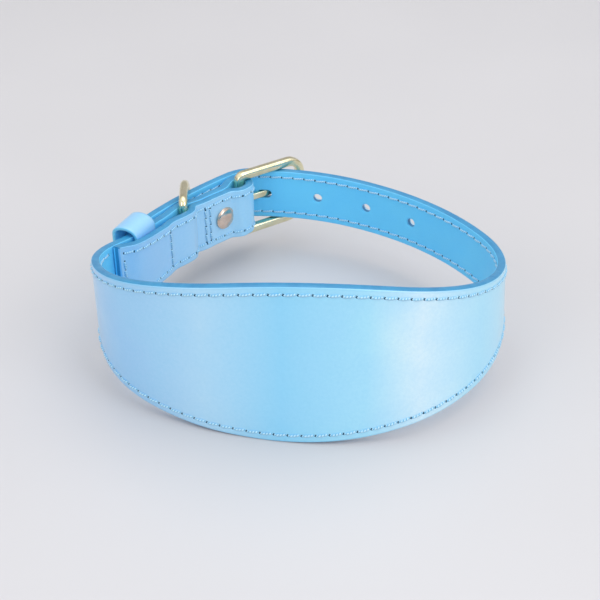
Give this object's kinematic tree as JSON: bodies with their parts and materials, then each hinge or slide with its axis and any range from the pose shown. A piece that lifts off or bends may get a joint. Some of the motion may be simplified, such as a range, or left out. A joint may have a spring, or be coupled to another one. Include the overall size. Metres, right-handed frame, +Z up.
{
  "type": "sighthound buckle collar",
  "caption": "Wide-fronted leather dog collar for a long-necked hound, closed by a pin buckle, with a lead ring and a keeper loop.",
  "frame": {"origin": "on the floor under the middle of the collar's outline", "axes": "+X to the wearer's right, along the collar's width; -Y towards the wide front panel; +Z up from the floor"},
  "size_m": [0.1361, 0.1343, 0.0533],
  "materials": {
    "pearl_leather": "pearlescent gloss, light blue shifting to lilac",
    "core_board": "painted matte edge",
    "matte_lining": "smooth satin, light blue",
    "thread": "twisted synthetic thread",
    "gold_metal": "pale gold plating, polished",
    "rivet_metal": "pale rose gold plating, polished"
  },
  "bodies": {
    "collar": {"face_leather": "pearl_leather", "strap_core": "core_board", "lining_leather": "matte_lining", "face_seam_top": "thread", "face_seam_bottom": "thread", "lining_seam_top": "thread", "lining_seam_bottom": "thread", "flap_end_stitching": "thread", "keeper_stitching": "thread", "ring_stitching": "thread", "rivet_cap": "rivet_metal", "rivet_post": "rivet_metal"},
    "frame": {"buckle_frame": "gold_metal"},
    "prong": {"buckle_prong": "gold_metal"},
    "ring": {"lead_ring": "gold_metal"},
    "keeper": {"keeper_loop": "pearl_leather"}
  },
  "joints": [
    {"name": "frame_hinge", "type": "hinge", "parent": "collar", "child": "frame", "pos_m": [-0.02284, 0.04885, 0.02222], "axis": [0, -0.0366, 0.9993], "range_deg": [-1.5, 0]},
    {"name": "prong_hinge", "type": "hinge", "parent": "collar", "child": "prong", "pos_m": [-0.02284, 0.04885, 0.02222], "axis": [0, -0.0366, 0.9993], "range_deg": [0, 2]},
    {"name": "ring_hinge", "type": "hinge", "parent": "collar", "child": "ring", "pos_m": [-0.04182, 0.02731, 0.02213], "axis": [0, -0.0366, 0.9993], "range_deg": [-1, 100]},
    {"name": "keeper_slide", "type": "slide", "parent": "collar", "child": "keeper", "axis": [0.4181, 0.9078, 0.0333], "range_m": [-0.0015, 0.0015]}
  ]
}
